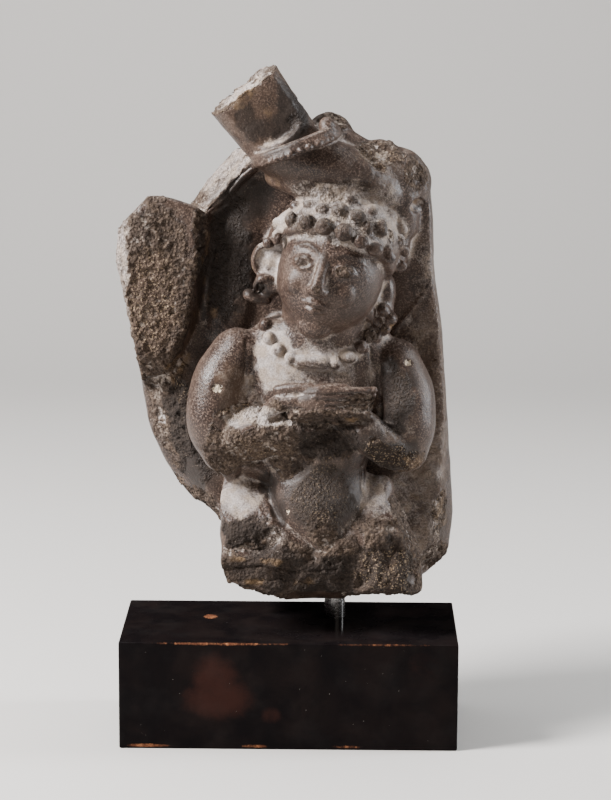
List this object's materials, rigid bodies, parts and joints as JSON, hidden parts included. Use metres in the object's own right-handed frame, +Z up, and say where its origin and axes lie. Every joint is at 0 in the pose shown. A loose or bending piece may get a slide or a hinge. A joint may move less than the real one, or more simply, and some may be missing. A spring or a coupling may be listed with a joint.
{
  "type": "chakrapurusha figure",
  "caption": "Carved schist fragment of a squatting attendant with crossed arms, a hand on its curly head, on a rod and block.",
  "frame": {"origin": "centre of the block's underside, on the surface it stands on", "axes": "+Z up, +X to the viewer's right, +Y away from the viewer, so the figure faces -Y"},
  "size_m": [0.2076, 0.1029, 0.4007],
  "materials": {
    "schist": "hand-polished dark schist, granular where broken",
    "steel_rod": "polished",
    "lacquer": "glossy black-brown lacquer, rubbed at the edges"
  },
  "bodies": {
    "root": {"stone_figure": "schist", "mount_rod": "steel_rod", "mount_block": "lacquer"}
  },
  "joints": []
}
